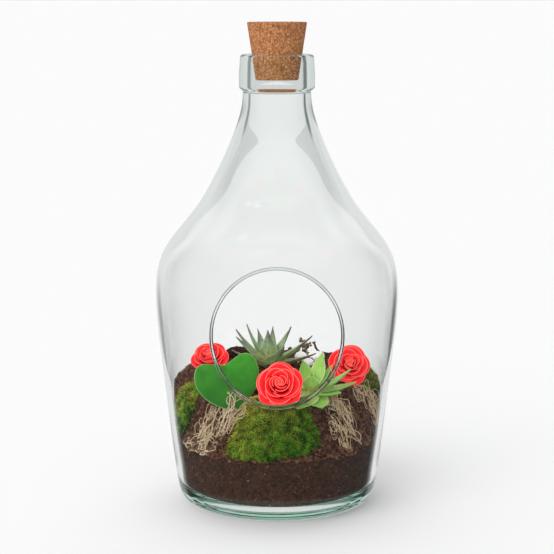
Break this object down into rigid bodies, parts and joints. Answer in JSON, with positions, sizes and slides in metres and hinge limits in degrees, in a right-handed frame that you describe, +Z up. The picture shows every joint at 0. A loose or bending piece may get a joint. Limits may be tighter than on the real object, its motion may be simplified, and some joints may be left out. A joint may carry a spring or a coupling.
{
  "type": "glass plant terrarium",
  "caption": "Clear glass demijohn terrarium with a cork and a round access hole in its front, planted with succulents, moss and foam roses.",
  "frame": {"origin": "centre of the bottle's flat foot, on its axis", "axes": "+Z up along the bottle's axis, the access hole faces -Y, +X to the right seen from the front"},
  "size_m": [0.1944, 0.1881, 0.3851],
  "materials": {
    "glass": "clear, faintly green in the thick base",
    "cork": "agglomerated cork granules, matt",
    "soil": "moist peat and coconut fibre, matt",
    "moss": "cushion moss, matt",
    "grey_leaf": "fleshy leaf with pale speckles, satin",
    "light_leaf": "fleshy leaf, satin",
    "heart_leaf": "thick smooth leaf, satin",
    "foam_rose": "thin coral foam sheet, matt",
    "wire": "green wrapped stem wire",
    "dried_root": "dry, matt",
    "pebble": "white quartz, satin",
    "bark": "rough bark, matt",
    "twig": "dry, matt"
  },
  "bodies": {
    "root": {"bottle": "glass", "cork": "cork", "soil": "soil", "moss_front": "moss", "moss_left": "moss", "moss_right": "moss", "spiky_rosette": "grey_leaf", "broad_rosette": "light_leaf", "heart_leaf": "heart_leaf", "rose_front": "foam_rose", "rose_right": "foam_rose", "rose_left": "foam_rose", "rose_front_wire": "wire", "rose_right_wire": "wire", "rose_left_wire": "wire", "dried_roots_left": "dried_root", "dried_roots_right": "dried_root", "pebble_1": "pebble", "pebble_2": "pebble", "pebble_3": "pebble", "bark_piece": "bark", "twig_flower_stalk": "twig", "twig_dark": "twig"}
  },
  "joints": []
}
